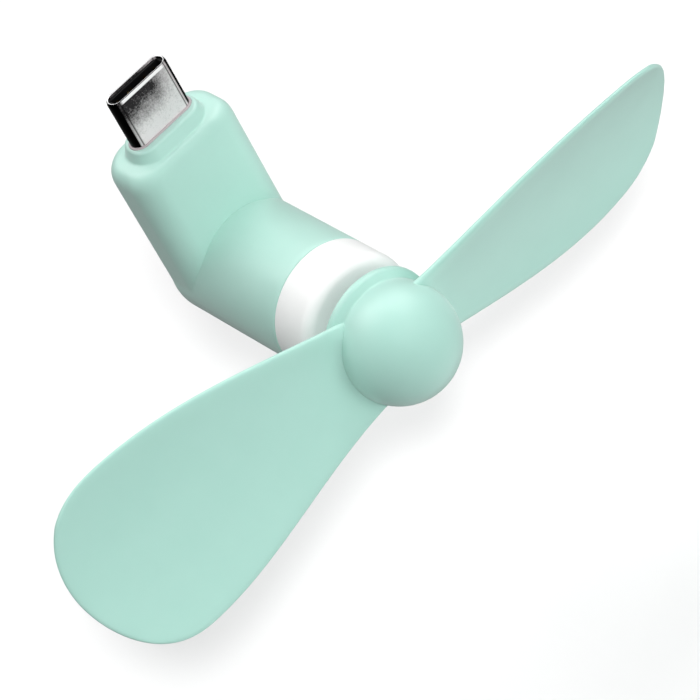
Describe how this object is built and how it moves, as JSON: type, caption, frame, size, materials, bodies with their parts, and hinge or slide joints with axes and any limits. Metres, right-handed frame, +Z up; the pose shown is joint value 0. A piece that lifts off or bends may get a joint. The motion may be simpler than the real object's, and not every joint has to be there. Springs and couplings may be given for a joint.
{
  "type": "plug-in mini fan",
  "caption": "Small fan that plugs into a phone's USB-C socket: soft L-shaped body, small brushed motor in its barrel, and a soft ball-hub propeller.",
  "frame": {"origin": "centre of the seat round the plug, where the plug leaves the collar's top face", "axes": "+Z runs up the plug, +X along the plug's width and the resting blades, -Y is the way the fan blows"},
  "size_m": [0.088, 0.0399, 0.0399],
  "materials": {
    "soft_mint": "soft-touch satin, very fine moulded texture",
    "blade_mint": "soft moulded, satin",
    "white_plastic": "smooth, semi-gloss",
    "natural_plastic": "natural, matt",
    "plug_steel": "fine satin stainless",
    "black_insulator": "matt black moulding",
    "gold_contact": "gold-plated",
    "spring_steel": "bright spring strip",
    "board_green": "solder mask",
    "chip_black": "glazed chip",
    "chip_tan": "ceramic body",
    "solder": "bright tin solder",
    "red_jacket": "wire insulation",
    "black_jacket": "wire insulation",
    "can_steel": "zinc-plated drawn steel",
    "bronze": "sintered, oiled",
    "ferrite": "sintered ferrite, dull",
    "brush_copper": "beryllium copper strip",
    "tinned": "tinned brass tab",
    "shaft_steel": "ground steel",
    "lamination": "stacked electrical sheet",
    "fibre": "pressed fibre",
    "winding": "enamelled copper wire",
    "copper": "bare copper"
  },
  "bodies": {
    "housing": {"body_shell": "soft_mint", "front_ring": "white_plastic", "plug_sleeve": "natural_plastic", "plug_shell": "plug_steel", "plug_flange": "natural_plastic", "contact_carrier": "black_insulator", "upper_contacts": "gold_contact", "lower_contacts": "gold_contact", "latch_spring": "spring_steel", "ground_springs": "spring_steel", "circuit_board": "board_green", "id_resistor": "chip_black", "filter_capacitor": "chip_tan", "board_solder": "solder", "red_wire": "red_jacket", "black_wire": "black_jacket", "terminal_solder": "solder", "motor_can": "can_steel", "front_bush": "bronze", "end_cap": "black_insulator", "rear_bush": "bronze", "left_magnet": "ferrite", "right_magnet": "ferrite", "magnet_spring": "spring_steel", "left_brush": "brush_copper", "right_brush": "brush_copper", "left_terminal": "tinned", "right_terminal": "tinned"},
    "rotor": {"motor_shaft": "shaft_steel", "armature_core": "lamination", "core_insulators": "fibre", "coil_1": "winding", "coil_2": "winding", "coil_3": "winding", "commutator_drum": "black_insulator", "commutator_bars": "copper", "shaft_spacer": "natural_plastic", "shaft_washers": "natural_plastic"},
    "propeller_body": {"hub_core": "white_plastic", "propeller": "blade_mint"}
  },
  "joints": [
    {"name": "propeller_spin", "type": "hinge", "parent": "housing", "child": "rotor", "pos_m": [0, 0, -0.0204], "axis": [0, 1, 0], "continuous": true},
    {"name": "propeller_pull", "type": "slide", "parent": "rotor", "child": "propeller_body", "axis": [0, -1, 0], "range_m": [0, 0.006]}
  ]
}
